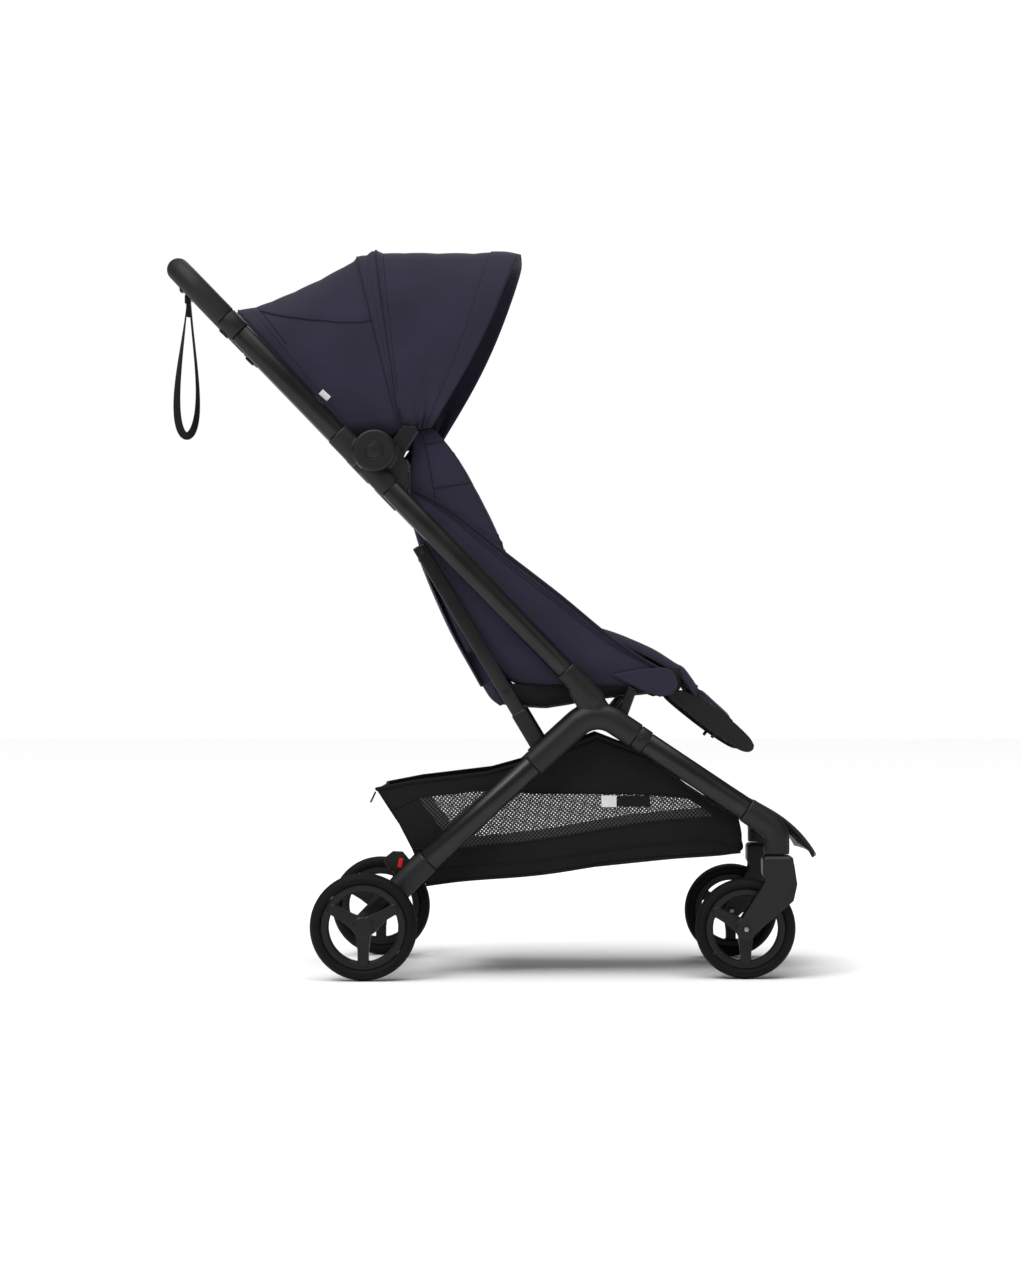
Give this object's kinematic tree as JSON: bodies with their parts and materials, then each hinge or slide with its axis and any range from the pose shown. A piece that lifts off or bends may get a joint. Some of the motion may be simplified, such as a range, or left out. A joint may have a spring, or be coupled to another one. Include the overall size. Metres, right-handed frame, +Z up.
{
  "type": "baby stroller",
  "caption": "Compact folding stroller with a tube frame, padded reclining seat, fabric canopy, mesh basket, swivel front wheels and a foot brake.",
  "frame": {"origin": "on the floor under the middle of the bounding box", "axes": "+X to the front, +Y to the left, +Z up"},
  "size_m": [0.9517, 0.449, 1.0664],
  "materials": {
    "frame_black": "black anodised, satin",
    "plastic_black": "fine moulded grain, matte black",
    "tyre_black": "matte foam-filled tyre",
    "steel": "satin",
    "navy_cloth": "dark navy woven polyester",
    "black_cloth": "black woven polyester and mesh"
  },
  "bodies": {
    "frame": {"seat_tube_left": "frame_black", "seat_tube_right": "frame_black", "knee_left": "plastic_black", "knee_right": "plastic_black", "rear_leg_left": "frame_black", "rear_leg_right": "frame_black", "rear_wheel_housing_left": "plastic_black", "rear_wheel_housing_right": "plastic_black", "rear_axle_pin_left": "steel", "rear_axle_pin_right": "steel", "rear_crossbar": "frame_black", "seat_strut_left": "frame_black", "seat_strut_right": "frame_black", "seat_rear_rail": "frame_black", "seat_front_rail": "frame_black", "fold_hinge_base_left": "plastic_black", "fold_hinge_base_right": "plastic_black", "seat_pad": "navy_cloth", "seat_side_left": "navy_cloth", "seat_side_right": "navy_cloth", "harness_buckle": "plastic_black", "canopy_rear": "navy_cloth", "canopy_bow_rear": "frame_black", "basket": "black_cloth"},
    "handle": {"handle_tube_left": "frame_black", "handle_tube_right": "frame_black", "fold_hinge_cap_left": "plastic_black", "fold_hinge_cap_right": "plastic_black", "handle_collar_left": "plastic_black", "handle_collar_right": "plastic_black", "handle_grip": "plastic_black", "wrist_strap": "black_cloth"},
    "fold_button": {"fold_button": "plastic_black"},
    "front_legs": {"front_leg_left": "frame_black", "front_leg_right": "frame_black", "front_leg_knuckle_left": "plastic_black", "front_leg_knuckle_right": "plastic_black", "swivel_housing_left": "plastic_black", "swivel_housing_right": "plastic_black", "front_apron": "plastic_black"},
    "caster_left": {"caster_fork_left": "plastic_black", "front_axle_pin_left": "steel"},
    "caster_right": {"caster_fork_right": "plastic_black", "front_axle_pin_right": "steel"},
    "front_wheel_left": {"front_wheel_left": "plastic_black", "front_tyre_left": "tyre_black"},
    "front_wheel_right": {"front_wheel_right": "plastic_black", "front_tyre_right": "tyre_black"},
    "rear_wheel_left": {"rear_wheel_left": "plastic_black", "rear_tyre_left": "tyre_black"},
    "rear_wheel_right": {"rear_wheel_right": "plastic_black", "rear_tyre_right": "tyre_black"},
    "brake": {"brake_pedal": "plastic_black"},
    "backrest": {"backrest_pad": "navy_cloth", "harness_strap_left": "black_cloth", "harness_strap_right": "black_cloth"},
    "leg_rest": {"leg_rest_board": "plastic_black", "leg_rest_pad": "navy_cloth"},
    "canopy": {"canopy_bow_front": "frame_black", "canopy_front": "navy_cloth"}
  },
  "joints": [
    {"name": "handle_fold", "type": "hinge", "parent": "frame", "child": "handle", "pos_m": [-0.17291, 0, 0.76464], "axis": [0, 1, 0], "range_deg": [0, 165], "deforming": ["canopy_rear", "wrist_strap"]},
    {"name": "fold_button_press", "type": "slide", "parent": "handle", "child": "fold_button", "axis": [0, 0, 1], "range_m": [0, 0.0035], "stiffness_N_per_m": 300},
    {"name": "front_leg_fold", "type": "hinge", "parent": "frame", "child": "front_legs", "pos_m": [0.19617, 0, 0.33586], "axis": [0, 1, 0], "range_deg": [0, 55], "deforming": ["basket"]},
    {"name": "caster_left_swivel", "type": "hinge", "parent": "front_legs", "child": "caster_left", "pos_m": [0.4102, 0.178, 0.18], "axis": [0, 0, 1], "continuous": true},
    {"name": "caster_right_swivel", "type": "hinge", "parent": "front_legs", "child": "caster_right", "pos_m": [0.4102, -0.178, 0.18], "axis": [0, 0, 1], "continuous": true},
    {"name": "front_wheel_left_spin", "type": "hinge", "parent": "caster_left", "child": "front_wheel_left", "pos_m": [0.365, 0.178, 0.0728], "axis": [0, 1, 0], "continuous": true},
    {"name": "front_wheel_right_spin", "type": "hinge", "parent": "caster_right", "child": "front_wheel_right", "pos_m": [0.365, -0.178, 0.0728], "axis": [0, 1, 0], "continuous": true},
    {"name": "rear_wheel_left_spin", "type": "hinge", "parent": "frame", "child": "rear_wheel_left", "pos_m": [-0.187, 0.2105, 0.0775], "axis": [0, 1, 0], "continuous": true},
    {"name": "rear_wheel_right_spin", "type": "hinge", "parent": "frame", "child": "rear_wheel_right", "pos_m": [-0.187, -0.2105, 0.0775], "axis": [0, 1, 0], "continuous": true},
    {"name": "brake_release", "type": "hinge", "parent": "frame", "child": "brake", "pos_m": [-0.152, -0.143, 0.128], "axis": [0, 1, 0], "range_deg": [-18, 0]},
    {"name": "backrest_recline", "type": "hinge", "parent": "frame", "child": "backrest", "pos_m": [0.03, 0, 0.46], "axis": [0, 1, 0], "range_deg": [-38, 0]},
    {"name": "leg_rest_tilt", "type": "hinge", "parent": "frame", "child": "leg_rest", "pos_m": [0.2725, 0, 0.41], "axis": [0, 1, 0], "range_deg": [-40, 0]},
    {"name": "canopy_fold", "type": "hinge", "parent": "frame", "child": "canopy", "pos_m": [-0.135, 0, 0.784], "axis": [0, 1, 0], "range_deg": [-28, 0], "deforming": ["canopy_front"]}
  ],
  "couplings": [
    {"joint": "front_leg_fold", "follows": "handle_fold", "ratio": 0.3333}
  ]
}
